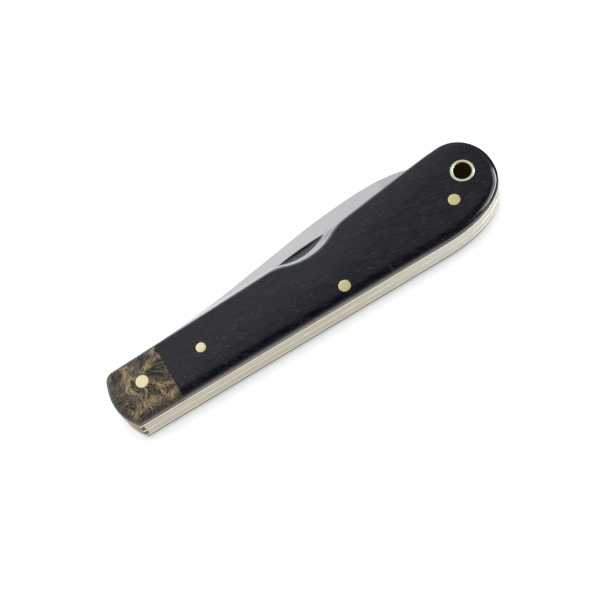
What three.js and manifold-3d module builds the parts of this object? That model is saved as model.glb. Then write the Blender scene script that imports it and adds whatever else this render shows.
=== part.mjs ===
// A folding pocket knife with two blades on one pivot, closed and lying on its back side.
// Millimetres. +X runs along the handle from the pivot to the butt, +Y is the side that the
// blades fold out of, -Y is the spring side, +Z is up through the layers of the handle.
// Everything is drawn with the pivot axis at x = 0, y = 0 and the table at z = 0. At the end
// the whole knife is moved so that its origin is the middle of its own footprint.

import * as THREE from 'three';
import { mergeVertices } from 'three/addons/utils/BufferGeometryUtils.js';
import Module from 'manifold-3d';

// Layers, from the table up
const scaleThickness = 3.0;
const linerThickness = 0.7;
const secondBladeSlot = 2.1;
const mainBladeSlot = 2.5;
const sideClearance = 0.05;

// Handle, measured from the pivot
const buttX = 100.7;
const backEdgeY = -8.6;
const backCornerX = -5.9;
const buttRound = { length: 21.6, fullness: 0.63, middleY: 5, topSetback: 9.1, topY: 14.85 };
const frontCorner = { x: -5.2, y: 4.4, radius: 2.9 };
const frontBulge = { x: -10.5, y: -2.5 };
const edgeKnee = { x: 41.5, y: 9.05 };
const edgeShoulder = { x: 59.4, y: 10.7 };
const edgeRise = { x: 78, y: 13.35 };
const scallop = { x: 49.2, y: 22, radius: 15 };
const shoulderRound = 2.6;

// The rounded outer edge of the scales: almost upright at the liner, it ends in a flat land
const edgeInset = 2.2;
const edgeLeanAngle = THREE.MathUtils.degToRad(4);
const edgeSteps = 5;

// Where the bolsters meet the wood
const bolsterJointX = 6.6;

// Pins, rivets and the lanyard tube
const pivotPin = { x: 0, y: 0, radius: 1.6 };
const middlePinInset = 3.1;
const middlePin = { x: 52.8, y: backEdgeY + middlePinInset, radius: 1.5 };
const buttPinSetback = 14.1;
const buttPin = { x: buttX - buttPinSetback, y: -0.8, radius: 1.5 };
const scaleRivet = { x: 16, y: -0.2, radius: 1.25 };
const tubeSetback = 8.2;
const lanyardTube = { x: buttX - tubeSetback, y: 4.8, radius: 3.0, bore: 2.3 };
const seatClearance = 0.02;
const runningClearance = 0.05;
const roundSegments = 32;

// Springs
const springThicknessAtTang = 4.0;
const springEndX = -5;
const springWaist = 3.2;
const middlePinWall = 1.5;
const buttPinWall = 3.3;
const tubeWall = 1.5;
const humpHalfLength = 7;
const humpTail = 15.4;
const humpShare = 0.3;
const waistReach = 28;
const tubeShoulderAngle = 150;
const buttShoulderAngle = 160;

// Tang, the square root of each blade that turns on the pivot
const tangCornerRadius = 2.0;
const tangKickX = 4.7;
const kickSlope = 1.8;
const shoulderGap = 0.5;
const shoulderY = 8.2;
const ricassoEdgeY = -2.1;
const plungeX = 13;

// Blades: reach is from pivot to point, and the back line and the belly are given as shares
// of that reach, each with its height
const mainPointSetback = 12.1;
const mainBlade = {
  slot: mainBladeSlot,
  reach: buttX - mainPointSetback,
  spine: [[0.17, 9.2], [0.28, 10.2], [0.395, 11.8], [0.51, 13.45], [0.62, 15], [0.735, 15.95],
    [0.825, 16.15], [0.905, 15.45], [0.96, 13.9]],
  pointY: 11.8,
  belly: [[0.68, -1.3], [0.86, -1], [0.965, 4]],
  grindY: 10.4,
  nickSide: 1,
};
const secondPointSetback = 28.7;
const secondBlade = {
  slot: secondBladeSlot,
  reach: buttX - secondPointSetback,
  spine: [[0.21, 8.9], [0.35, 9.8], [0.49, 11.2], [0.625, 12.6], [0.75, 13.1], [0.86, 12.2],
    [0.945, 10.2]],
  pointY: 7.4,
  belly: [[0.69, -1.5], [0.85, -1.3], [0.96, 2]],
  grindY: 9.6,
  nickSide: -1,
};
const grindSlope = 0.085;
const edgeThickness = 0.3;
const pointThickness = 0.7;
const pointTaperLength = 14;
const leastFlatWidth = 0.5;
const leastBevelShare = 0.4;
const flatFadePower = 6;
const bladeStations = 26;
const stationCrowding = 1.4;
const spineStepsPerPoint = 10;
const bellySteps = 60;

// Nail nick: a thin wheel with one steep side and one slanted side, pressed into the blade
const nickLength = 14;
const nickDepth = 0.65;
const nickWallWidth = 0.32;
const nickWidth = 2.5;
const wheelThickness = 3.6;
const wheelSegments = 260;

// How many straight steps stand for a curve
const curveSteps = 7;
const splineStepsPerPoint = 3;
const cornerSteps = 7;
const buttSteps = 12;

const wasm = await Module();
wasm.setup();

// A closed geometry as a solid that can be joined and cut
function solidOf(geometry) {
  const bare = geometry.clone();
  bare.deleteAttribute('normal');
  bare.deleteAttribute('uv');
  const welded = mergeVertices(bare, 1e-4);
  return new wasm.Manifold(new wasm.Mesh({
    numProp: 3,
    vertProperties: new Float32Array(welded.attributes.position.array),
    triVerts: new Uint32Array(welded.index.array),
  }));
}

function geometryOf(solid) {
  const mesh = solid.getMesh();
  const geometry = new THREE.BufferGeometry();
  geometry.setAttribute('position', new THREE.BufferAttribute(mesh.vertProperties, 3));
  geometry.setIndex(new THREE.BufferAttribute(mesh.triVerts, 1));
  geometry.computeVertexNormals();
  return geometry;
}

// A flat layer of an outline between two heights
function layer(shape, bottom, top) {
  const geometry = new THREE.ExtrudeGeometry(shape, {
    depth: top - bottom, bevelEnabled: false, steps: 1, curveSegments: curveSteps,
  });
  geometry.translate(0, 0, bottom);
  return solidOf(geometry);
}

function box(x0, x1, y0, y1, z0, z1) {
  const geometry = new THREE.BoxGeometry(x1 - x0, y1 - y0, z1 - z0);
  geometry.translate((x0 + x1) / 2, (y0 + y1) / 2, (z0 + z1) / 2);
  return solidOf(geometry);
}

// An upright round bar, used for pins and for the holes that they go through
function bar(place, radius, bottom, top) {
  const geometry = new THREE.CylinderGeometry(radius, radius, top - bottom, roundSegments);
  geometry.rotateX(Math.PI / 2);
  geometry.translate(place.x, place.y, (bottom + top) / 2);
  return solidOf(geometry);
}

// Heights of the layers
const backLinerZ = scaleThickness;
const secondSlotZ = backLinerZ + linerThickness;
const centreLinerZ = secondSlotZ + secondBladeSlot;
const mainSlotZ = centreLinerZ + linerThickness;
const frontLinerZ = mainSlotZ + mainBladeSlot;
const frontScaleZ = frontLinerZ + linerThickness;
const topZ = frontScaleZ + scaleThickness;

// How far a cutter reaches past the solid that it cuts
const overshoot = 5;

// Height at x of the straight line through two points
function lineHeight(a, b, x) {
  return a.y + ((x - a.x) * (b.y - a.y)) / (b.x - a.x);
}

// Point of the thumb scallop, a round cut into the edge between knee and shoulder
function scallopPoint(x) {
  return { x, y: scallop.y - Math.sqrt(scallop.radius ** 2 - (x - scallop.x) ** 2) };
}

function angleOnScallop(point) {
  return Math.atan2(point.y - scallop.y, point.x - scallop.x);
}

// Angle on a round corner where a line from a point outside touches it
function touchAngle(corner, from, side) {
  const away = Math.hypot(from.x - corner.x, from.y - corner.y);
  return Math.atan2(from.y - corner.y, from.x - corner.x)
    + side * Math.acos(corner.radius / away);
}

// Outline of the handle, run anticlockwise from the back corner
function handleOutline(withScallop) {
  const shape = new THREE.Shape();
  const highMiddle = buttRound.topY - buttRound.middleY;
  shape.moveTo(backCornerX, backEdgeY);
  shape.lineTo(buttX - buttRound.length, backEdgeY);
  const lowCurve = new THREE.CubicBezierCurve(
    shape.currentPoint.clone(),
    new THREE.Vector2(buttX - buttRound.length * (1 - buttRound.fullness), backEdgeY),
    new THREE.Vector2(buttX, THREE.MathUtils.lerp(buttRound.middleY, backEdgeY,
      buttRound.fullness)),
    new THREE.Vector2(buttX, buttRound.middleY),
  );
  for (const point of lowCurve.getPoints(buttSteps).slice(1)) {
    shape.lineTo(point.x, point.y);
  }
  shape.absellipse(buttX - buttRound.topSetback, buttRound.middleY, buttRound.topSetback,
    highMiddle, 0, 0.5 * Math.PI, false);
  const slope = (edgeRise.y - edgeShoulder.y) / (edgeRise.x - edgeShoulder.x);
  shape.quadraticCurveTo(edgeRise.x + (buttRound.topY - edgeRise.y) / slope, buttRound.topY,
    edgeRise.x, edgeRise.y);
  if (withScallop) {
    const rightStart = edgeShoulder.x + shoulderRound;
    const rightEnd = scallopPoint(edgeShoulder.x - shoulderRound);
    const leftStart = scallopPoint(edgeKnee.x + shoulderRound);
    const leftEnd = edgeKnee.x - shoulderRound;
    shape.lineTo(rightStart, lineHeight(edgeShoulder, edgeRise, rightStart));
    shape.quadraticCurveTo(edgeShoulder.x, edgeShoulder.y, rightEnd.x, rightEnd.y);
    shape.absarc(scallop.x, scallop.y, scallop.radius,
      angleOnScallop(rightEnd), angleOnScallop(leftStart), true);
    const frontEdge = { x: frontCorner.x, y: frontCorner.y + frontCorner.radius };
    shape.quadraticCurveTo(edgeKnee.x, edgeKnee.y,
      leftEnd, lineHeight(frontEdge, edgeKnee, leftEnd));
  } else {
    shape.lineTo(edgeShoulder.x, edgeShoulder.y);
    shape.lineTo(edgeKnee.x, edgeKnee.y);
  }
  shape.absarc(frontCorner.x, frontCorner.y, frontCorner.radius,
    touchAngle(frontCorner, edgeKnee, 1), touchAngle(frontCorner, frontBulge, -1) + 2 * Math.PI,
    false);
  const end = new THREE.QuadraticBezierCurve(
    shape.currentPoint.clone(),
    new THREE.Vector2(frontBulge.x, frontBulge.y),
    new THREE.Vector2(backCornerX, backEdgeY),
  );
  for (const point of end.getPoints(cornerSteps).slice(1, -1)) {
    shape.lineTo(point.x, point.y);
  }
  shape.closePath();
  return shape;
}

const handleShape = handleOutline(false);
const scallopedShape = handleOutline(true);

// The same outline drawn in by a distance, along the mean of each point's two edge normals
function drawnIn(points, distance) {
  return points.map((point, i) => {
    const before = points[(i + points.length - 1) % points.length];
    const after = points[(i + 1) % points.length];
    const inward = new THREE.Vector2(before.y - point.y, point.x - before.x).normalize();
    const next = new THREE.Vector2(point.y - after.y, after.x - point.x).normalize();
    inward.add(next).normalize();
    return point.clone().addScaledVector(inward, distance / inward.dot(next));
  });
}

// One outer slab: rings of the outline, each further in and further from the liner, and two caps
function roundedSlab(shape, seatZ, outward) {
  const outline = shape.getPoints(curveSteps);
  if (outline[0].equals(outline[outline.length - 1])) {
    outline.pop();
  }
  const lean = { sin: Math.sin(edgeLeanAngle), cos: Math.cos(edgeLeanAngle) };
  const positions = [];
  for (let step = 0; step <= edgeSteps; step += 1) {
    const angle = THREE.MathUtils.lerp(edgeLeanAngle, Math.PI / 2, step / edgeSteps);
    const rise = (scaleThickness * (Math.sin(angle) - lean.sin)) / (1 - lean.sin);
    const inset = (edgeInset * (lean.cos - Math.cos(angle))) / lean.cos;
    for (const point of drawnIn(outline, inset)) {
      positions.push(point.x, point.y, seatZ + outward * rise);
    }
  }
  const count = outline.length;
  const faces = [];
  for (let step = 0; step < edgeSteps; step += 1) {
    for (let i = 0; i < count; i += 1) {
      const a = step * count + i;
      const b = step * count + ((i + 1) % count);
      faces.push(a, b, b + count, a, b + count, a + count);
    }
  }
  const last = edgeSteps * count;
  for (const [i, j, k] of THREE.ShapeUtils.triangulateShape(outline, [])) {
    faces.push(i, k, j, last + i, last + j, last + k);
  }
  if (outward < 0) {
    faces.reverse();
  }
  const geometry = new THREE.BufferGeometry();
  geometry.setAttribute('position', new THREE.Float32BufferAttribute(positions, 3));
  geometry.setIndex(faces);
  return solidOf(geometry);
}

const frontSlab = roundedSlab(scallopedShape, frontScaleZ, 1);
const backSlab = roundedSlab(scallopedShape, backLinerZ, -1);

// Everything that a pin may fill: pins are filed flush with the rounded slabs
const envelope = frontSlab
  .add(backSlab)
  .add(layer(handleShape, backLinerZ, frontScaleZ));

// Holes through the fixed layers
function drilled(solid, places) {
  return places.reduce(
    (rest, place) => rest.subtract(bar(place, place.radius + seatClearance, -overshoot,
      topZ + overshoot)),
    solid,
  );
}

const throughPins = [pivotPin, middlePin, buttPin, lanyardTube];

// Bolster and wood scale of one side, cut from the same slab at the joint
function bolsterAndScale(slab) {
  const low = backEdgeY - overshoot;
  const high = buttRound.topY + overshoot;
  const bolster = slab.intersect(box(frontBulge.x - overshoot, bolsterJointX, low, high,
    -overshoot, topZ + overshoot));
  const scale = slab.intersect(box(bolsterJointX, buttX + overshoot, low, high,
    -overshoot, topZ + overshoot));
  return {
    bolster: drilled(bolster, [pivotPin]),
    scale: drilled(scale, [middlePin, buttPin, lanyardTube, scaleRivet]),
  };
}

// Point at an angle round a pin or tube, a wall's thickness away from it
function around(place, wall, degrees) {
  const angle = THREE.MathUtils.degToRad(degrees);
  const reach = place.radius + wall;
  return new THREE.Vector2(place.x + reach * Math.cos(angle), place.y + reach * Math.sin(angle));
}

// Spring: the handle outline below a waisted line, from round the lanyard tube to the tang
function springSolid(bottom, top) {
  const tangTopY = backEdgeY + springThicknessAtTang;
  const waistY = backEdgeY + springWaist;
  const hump = around(middlePin, middlePinWall, 90);
  const humpFootY = THREE.MathUtils.lerp(waistY, hump.y, humpShare);
  const contour = new THREE.SplineCurve([
    around(lanyardTube, tubeWall, 90),
    around(lanyardTube, tubeWall, tubeShoulderAngle),
    around(buttPin, buttPinWall, 90),
    around(buttPin, buttPinWall, buttShoulderAngle),
    new THREE.Vector2(middlePin.x + humpTail, humpFootY),
    new THREE.Vector2(middlePin.x + humpHalfLength, humpFootY),
    hump,
    new THREE.Vector2(middlePin.x - humpHalfLength, humpFootY),
    new THREE.Vector2(middlePin.x - humpTail, waistY),
    new THREE.Vector2(middlePin.x - waistReach, waistY),
    new THREE.Vector2(tangKickX + 2 * kickSlope, tangTopY),
    new THREE.Vector2(tangKickX, tangTopY),
  ]);
  const outline = [
    new THREE.Vector2(springEndX, tangTopY),
    new THREE.Vector2(springEndX, backEdgeY - overshoot),
    new THREE.Vector2(buttX + overshoot, backEdgeY - overshoot),
    new THREE.Vector2(buttX + overshoot, contour.points[0].y),
    ...contour.getPoints(splineStepsPerPoint * contour.points.length),
  ];
  return layer(handleShape, bottom, top)
    .intersect(layer(new THREE.Shape(outline), bottom - overshoot, top + overshoot));
}

// Half the height of the square tang: it reaches exactly to the spring
const tangHalf = -(backEdgeY + springThicknessAtTang);

// Tang and the unground root of the blade, up to the plunge
function tangShape(spineCurve) {
  const round = tangCornerRadius;
  const inner = tangHalf - round;
  const shape = new THREE.Shape();
  shape.moveTo(-inner, -tangHalf);
  shape.lineTo(tangKickX, -tangHalf);
  shape.lineTo(tangKickX + kickSlope, ricassoEdgeY);
  shape.lineTo(plungeX, ricassoEdgeY);
  shape.lineTo(plungeX, heightAt(spineCurve, plungeX));
  shape.lineTo(-springEndX + shoulderGap, shoulderY);
  shape.lineTo(-springEndX + shoulderGap, tangHalf);
  shape.lineTo(-inner, tangHalf);
  shape.absarc(-inner, inner, round, Math.PI / 2, Math.PI, false);
  shape.absarc(-inner, -inner, round, Math.PI, 1.5 * Math.PI, false);
  return shape;
}

// Height of a sampled line at x, by straight steps between its points
function heightAt(points, x) {
  const last = points.length - 1;
  const i = THREE.MathUtils.clamp(points.findIndex((p) => p.x >= x), 1, last);
  const share = (x - points[i - 1].x) / (points[i].x - points[i - 1].x);
  return THREE.MathUtils.lerp(points[i - 1].y, points[i].y, share);
}

// The ground blade from plunge to point: six-sided sections with a flat by the spine, a bevel
// down to the edge on each side, and less thickness towards the point
function groundBlade(spec, thickness, spineLine, edgeLine) {
  const startX = plungeX - 1;
  const endX = spec.reach - edgeThickness / 2;
  const positions = [];
  for (let i = 0; i <= bladeStations; i += 1) {
    const share = 1 - (1 - i / bladeStations) ** stationCrowding;
    const x = THREE.MathUtils.lerp(startX, endX, share);
    const spineY = heightAt(spineLine, x);
    const edgeY = heightAt(edgeLine, x);
    const grindY = spec.grindY + grindSlope * (x - scallop.x);
    const flatY = Math.min(grindY, spineY - leastFlatWidth * (1 - share ** flatFadePower));
    const bevelY = Math.max(flatY, edgeY + leastBevelShare * (spineY - edgeY));
    const taper = THREE.MathUtils.clamp((spec.reach - x) / pointTaperLength, 0, 1);
    const width = THREE.MathUtils.lerp(pointThickness, thickness, taper) / 2;
    const edge = edgeThickness / 2;
    positions.push(
      x, spineY, width, x, bevelY, width, x, edgeY, edge,
      x, edgeY, -edge, x, bevelY, -width, x, spineY, -width,
    );
  }
  const faces = [];
  for (let i = 0; i < bladeStations; i += 1) {
    for (let side = 0; side < 6; side += 1) {
      const a = 6 * i + side;
      const b = 6 * i + ((side + 1) % 6);
      faces.push(a, b, b + 6, a, b + 6, a + 6);
    }
  }
  const last = 6 * bladeStations;
  for (let k = 1; k < 5; k += 1) {
    faces.push(0, k + 1, k, last, last + k, last + k + 1);
  }
  const geometry = new THREE.BufferGeometry();
  geometry.setAttribute('position', new THREE.Float32BufferAttribute(positions, 3));
  geometry.setIndex(faces);
  return solidOf(geometry);
}

// Wheel that leaves the crescent of the nail nick in one face of a blade, at the grind line
function nickWheel(spec, thickness) {
  const radius = (nickLength ** 2 / 4 + nickDepth ** 2) / (2 * nickDepth);
  const floorDrop = (nickDepth * wheelThickness) / nickWidth;
  const profile = [
    new THREE.Vector2(0, -wheelThickness),
    new THREE.Vector2(radius - floorDrop, -wheelThickness),
    new THREE.Vector2(radius, 0),
    new THREE.Vector2(radius - 2 * nickDepth, 2 * nickWallWidth),
    new THREE.Vector2(0, 2 * nickWallWidth),
  ];
  const geometry = new THREE.LatheGeometry(profile, wheelSegments);
  geometry.rotateZ(Math.atan(grindSlope));
  geometry.translate(scallop.x, spec.grindY,
    spec.nickSide * (thickness / 2 + radius - nickDepth));
  return solidOf(geometry);
}

// One whole blade, closed, in the slot that begins at slotZ
function bladeSolid(spec, slotZ) {
  const thickness = spec.slot - 2 * sideClearance;
  const root = new THREE.Vector2(-springEndX + shoulderGap, shoulderY);
  const point = new THREE.Vector2(spec.reach, spec.pointY);
  const along = ([share, y]) => new THREE.Vector2(share * spec.reach, y);
  const spine = [root, ...spec.spine.map(along), point];
  const spineLine = new THREE.SplineCurve(spine).getPoints(spineStepsPerPoint * spine.length);
  const belly = new THREE.CubicBezierCurve(...spec.belly.map(along), point);
  const edgeLine = [new THREE.Vector2(plungeX - 1, ricassoEdgeY), ...belly.getPoints(bellySteps)];
  return layer(tangShape(spineLine), -thickness / 2, thickness / 2)
    .subtract(bar(pivotPin, pivotPin.radius + runningClearance, -overshoot, overshoot))
    .add(groundBlade(spec, thickness, spineLine, edgeLine))
    .subtract(nickWheel(spec, thickness))
    .translate([0, 0, slotZ + spec.slot / 2]);
}

const brass = { color: 0xd9cfa6, roughness: 0.3, metalness: 1.0 };
const steel = { color: 0xb9b6b0, roughness: 0.35, metalness: 1.0 };
const polished = { color: 0xc9c8ca, roughness: 0.22, metalness: 1.0 };
const blackWood = { color: 0x18191c, roughness: 0.35, metalness: 0.0 };
const marbled = { color: 0x55463a, roughness: 0.25, metalness: 0.0 };

const knife = new THREE.Group();

function addPart(name, solid, look) {
  const mesh = new THREE.Mesh(geometryOf(solid), new THREE.MeshStandardMaterial(look));
  mesh.name = name;
  knife.add(mesh);
}

// Handle slabs
for (const [side, slab] of [['front', frontSlab], ['back', backSlab]]) {
  const { bolster, scale } = bolsterAndScale(slab);
  addPart(`${side}_bolster`, bolster, marbled);
  addPart(`${side}_scale`, scale, blackWood);
}

// Liners
const linerHoles = [...throughPins, scaleRivet];
addPart('front_liner', drilled(layer(scallopedShape, frontLinerZ, frontScaleZ), linerHoles), brass);
addPart('centre_liner', drilled(layer(handleShape, centreLinerZ, mainSlotZ), throughPins), brass);
addPart('back_liner', drilled(layer(scallopedShape, backLinerZ, secondSlotZ), linerHoles), brass);

// Springs
const springHoles = [middlePin, buttPin, lanyardTube];
addPart('front_spring', drilled(springSolid(mainSlotZ, frontLinerZ), springHoles), steel);
addPart('back_spring', drilled(springSolid(secondSlotZ, centreLinerZ), springHoles), steel);

// Blades
addPart('main_blade', bladeSolid(mainBlade, mainSlotZ), polished);
addPart('second_blade', bladeSolid(secondBlade, secondSlotZ), polished);

// Pins run through the whole handle, the scale rivets only through scale and liner
for (const [name, place] of [['pivot_pin', pivotPin], ['middle_pin', middlePin],
  ['butt_pin', buttPin]]) {
  addPart(name, bar(place, place.radius, 0, topZ).intersect(envelope), brass);
}
addPart('front_scale_rivet', bar(scaleRivet, scaleRivet.radius, frontLinerZ, topZ), brass);
addPart('back_scale_rivet', bar(scaleRivet, scaleRivet.radius, 0, secondSlotZ), brass);
addPart('lanyard_tube', bar(lanyardTube, lanyardTube.radius, 0, topZ)
  .subtract(bar(lanyardTube, lanyardTube.bore, -overshoot, topZ + overshoot)), brass);

// The origin is the middle of the footprint, on the table
const footprint = new THREE.Box3().setFromObject(knife).getCenter(new THREE.Vector3());
knife.position.set(-footprint.x, -footprint.y, 0);

export default knife;
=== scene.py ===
# %% [markdown]
# # A folding pocket knife, dressed for a studio picture
# The solids of the knife come in ready made, with their joints. This lesson builds what the eye
# sees around them: rounded wood and composite slabs, thin brass liners, ground steel, peened
# pins. Every piece is drawn at real size, in the same place as the solid that it stands for.
# We load the solids first, and write down their box, because nothing may grow out of it.

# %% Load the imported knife
import math

import bmesh
import bpy
import numpy as np
from mathutils import Matrix, Vector
from mathutils.geometry import delaunay_2d_cdt


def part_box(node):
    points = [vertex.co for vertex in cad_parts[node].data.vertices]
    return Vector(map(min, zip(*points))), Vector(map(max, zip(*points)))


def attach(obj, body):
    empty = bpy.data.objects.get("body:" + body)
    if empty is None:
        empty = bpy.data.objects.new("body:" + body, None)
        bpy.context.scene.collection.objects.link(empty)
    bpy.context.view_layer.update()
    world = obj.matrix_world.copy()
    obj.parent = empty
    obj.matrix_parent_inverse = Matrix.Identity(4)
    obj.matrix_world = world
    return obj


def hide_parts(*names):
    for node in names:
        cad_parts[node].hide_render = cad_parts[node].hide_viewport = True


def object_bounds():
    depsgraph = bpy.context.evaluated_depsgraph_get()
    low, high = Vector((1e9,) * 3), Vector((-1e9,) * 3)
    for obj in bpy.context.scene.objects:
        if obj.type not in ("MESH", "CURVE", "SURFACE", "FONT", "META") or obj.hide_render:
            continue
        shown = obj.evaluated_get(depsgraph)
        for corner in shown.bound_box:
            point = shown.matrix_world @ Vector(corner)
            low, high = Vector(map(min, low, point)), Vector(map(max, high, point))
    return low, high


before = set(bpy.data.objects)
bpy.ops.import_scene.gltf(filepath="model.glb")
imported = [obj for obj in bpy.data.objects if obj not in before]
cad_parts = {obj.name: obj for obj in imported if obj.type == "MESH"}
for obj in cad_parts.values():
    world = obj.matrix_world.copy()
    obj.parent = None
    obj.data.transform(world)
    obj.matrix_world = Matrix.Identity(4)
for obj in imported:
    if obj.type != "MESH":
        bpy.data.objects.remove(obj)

solid_low, solid_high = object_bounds()
print(len(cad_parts), "nodes, box in mm", [round(1000 * c, 2) for c in solid_high - solid_low])

# %% [markdown]
# A knife is drawn best from its pivot, so the numbers below are millimetres from the pivot
# axis: x runs towards the butt, y towards the side where the blades come out, z up through the
# layers. One helper moves a point from the drawing to the scene, which counts in metres. Two
# more put a thing into the scene and turn it, for the camera and the lamps.

# %% Drawing board
pivot_low, pivot_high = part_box("pivot_pin")
PIVOT = (500 * (pivot_low.x + pivot_high.x), 500 * (pivot_low.y + pivot_high.y))
MM = 0.001


def to_scene(points, z=0.0):
    """Millimetres on the drawing to metres in the scene."""
    points = np.asarray(points, float)
    heights = np.broadcast_to(np.asarray(z, float), len(points))
    return np.c_[points[:, 0] + PIVOT[0], points[:, 1] + PIVOT[1], heights] * MM


def added(name, data):
    """A new object in the scene from a mesh, a lamp or a camera."""
    made = bpy.data.objects.new(name, data)
    bpy.context.scene.collection.objects.link(made)
    return made


def turned(heading, tilt, roll=0.0):
    """A roll about its own axis, then a tilt, then a heading, in degrees."""
    heading, tilt, roll = (math.radians(angle) for angle in (heading, tilt, roll))
    return (Matrix.Rotation(heading, 4, "Z") @ Matrix.Rotation(tilt, 4, "X")
            @ Matrix.Rotation(roll, 4, "Z"))


print("pivot axis at", [round(c, 3) for c in PIVOT], "mm")

# %% [markdown]
# The picture is taken from above and from the spring side, with a long lens, and the camera is
# rolled a little so that the knife climbs across the frame. A camera looks along its own -Z, so
# three turns place it: roll about its own axis, tilt, and the direction that it looks in.

# %% Camera
CAMERA_HEADING, CAMERA_TILT, CAMERA_ROLL = -10.9253, 25.1089, -20.8334
CAMERA_TARGET = Vector((PIVOT[0] + 42.524, PIVOT[1] + 0.054, 6.413)) * MM
CAMERA_DISTANCE = 314.068 * MM
CAMERA_LENS, CAMERA_SENSOR, CAMERA_NEAR = 77.4, 36, 0.01

camera = added("camera", bpy.data.cameras.new("camera"))
camera.data.lens = CAMERA_LENS
camera.data.sensor_width = CAMERA_SENSOR
camera.data.clip_start = CAMERA_NEAR
turn = turned(CAMERA_HEADING, CAMERA_TILT, CAMERA_ROLL)
away = turn.to_3x3() @ Vector((0, 0, CAMERA_DISTANCE))
camera.matrix_world = Matrix.Translation(CAMERA_TARGET + away) @ turn
bpy.context.scene.camera = camera
print("camera at", [round(1000 * c, 1) for c in camera.matrix_world.translation], "mm")

# %% [markdown]
# Shader nodes are arithmetic on pictures. Writing them one by one hides the sum, so a small
# class wraps a socket and lets Python's own signs add the Math nodes. Colours are mixed by Mix
# nodes, and every other node comes from one method that sets its options before its inputs.

# %% Wires


def plug(slot, value):
    """Links a wire to a socket, or sets the socket's own value."""
    if isinstance(value, Wire):
        slot.id_data.links.new(value.socket, slot)
    elif isinstance(value, tuple) and slot.type == "RGBA":
        slot.default_value = (*value, 1)[:4]
    elif value is not None:
        slot.default_value = value


def sign(operation, swapped=False):
    """The Math node behind one of Python's signs; swapped is for 1 - wire."""

    def method(self, other=None):
        node = self.socket.id_data.nodes.new("ShaderNodeMath")
        node.operation = operation
        for slot, value in zip(node.inputs, (other, self) if swapped else (self, other)):
            plug(slot, value)
        return Wire(node.outputs[0])

    return method


class Wire:
    """A socket that can be reckoned with."""

    def __init__(self, socket):
        self.socket = socket

    __add__ = __radd__ = sign("ADD")
    __mul__ = __rmul__ = sign("MULTIPLY")
    __sub__, __rsub__ = sign("SUBTRACT"), sign("SUBTRACT", swapped=True)
    __truediv__, __pow__, __abs__ = sign("DIVIDE"), sign("POWER"), sign("ABSOLUTE")


print("wires ready")

# %% Trees and finishes


class Tree:
    """A node tree that grows by one call for each node."""

    def __init__(self, tree):
        self.tree = tree
        tree.nodes.clear()

    def node(self, kind, settings=None, output=0, **sockets):
        """Adds any node: its settings first, then its sockets by name or number (_1 is 1)."""
        prefix = "" if kind.startswith(("GeometryNode", "NodeGroup")) else "ShaderNode"
        node = self.tree.nodes.new(prefix + kind)
        for key, value in (settings or {}).items():
            setattr(node, key, value)
        for key, value in sockets.items():
            slot = int(key[1:]) if key[0] == "_" and key[1:].isdigit() else key.replace("_", " ")
            plug(node.inputs[slot], value)
        return Wire(node.outputs[output]) if node.outputs else None

    def mix(self, share, first, second):
        """Colour that goes from first to second."""
        return self.node("Mix", {"data_type": "RGBA"}, output=2, _0=share, _6=first, _7=second)

    def layered(self, colour, *coats):
        """A colour under coats; each coat is a share and a colour of its own."""
        for share, coat in coats:
            colour = self.mix(share, colour, coat)
        return colour

    def spread(self, value, low, high, to_low=0.0, to_high=1.0):
        """Stretches a value smoothly from one range to another."""
        return self.node("MapRange", {"interpolation_type": "SMOOTHSTEP"}, Value=value,
                         From_Min=low, From_Max=high, To_Min=to_low, To_Max=to_high)


class Finish(Tree):
    """A material with one glossy shader, built node by node."""

    def __init__(self, name, **constants):
        self.material = bpy.data.materials.new(name)
        self.material.use_nodes = True
        super().__init__(self.material.node_tree)
        self.shader = self.tree.nodes.new("ShaderNodeBsdfPrincipled")
        self.node("OutputMaterial", Surface=Wire(self.shader.outputs[0]))
        self.set(**constants)

    def set(self, **sockets):
        """Fills sockets of the shader, Base_Color for Base Color, and returns the material."""
        for key, value in sockets.items():
            plug(self.shader.inputs[key.replace("_", " ")], value)
        return self.material

    def here(self):
        """Object coordinates in metres."""
        return self.node("TexCoord", output=3)

    def along(self, axis):
        """One object coordinate in metres: 0 is x, 1 is y."""
        return self.node("SeparateXYZ", output=axis, Vector=self.here())

    def stored(self, name):
        """A number that the mesh keeps on its points."""
        return self.node("Attribute", {"attribute_name": name}, output=2)

    def stretch(self, vector, scale, angle=0.0):
        """Turns coordinates about Z and then stretches them."""
        turned_back = self.node("Mapping", Vector=vector, Rotation=(0, 0, angle))
        return self.node("Mapping", Vector=turned_back, Scale=scale)

    def noise(self, scale, angle=0.0, detail=2.0, rough=0.5, vector=None, colour=False):
        """Noise with so many spots to a millimetre each way, or stretched over a vector."""
        if vector is None:
            vector, scale = self.here(), tuple(s / MM for s in scale)
        return self.node("TexNoise", output=1 if colour else 0, Scale=1.0, Detail=detail,
                         Roughness=rough, Vector=self.stretch(vector, scale, angle))

    def bump(self, height, depth, strength):
        """Turns a height between 0 and 1 into a bump that many millimetres deep."""
        return self.node("Bump", Height=height, Distance=depth * MM, Strength=strength)


print("trees and finishes ready")

# %% [markdown]
# The knife lies on a white sweep. A floor that looks pure white needs more light than is good
# for the knife, and that light would wash it out. So the floor is plain paint, which takes the
# shadows, and for the camera and for mirrors such as polished steel it also glows a little. Far
# off it turns into the white backdrop. Beyond the butt, mirrors see it dark: that draws the
# dark line outside the bright crescent on the wood there.

# %% Floor
FLOOR_HALF = 3.0
FLOOR_PAINT, FLOOR_DARK = (0.83,) * 3, (0.06,) * 3
FLOOR_GLOW = (0.44, 0.44, 0.43)
FLOOR_FAR = (0.14, 0.45)      # metres from the middle where the white backdrop comes in
FLOOR_BUTT = (0.05, 0.062)    # metres along x where it turns dark for mirrors


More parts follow.
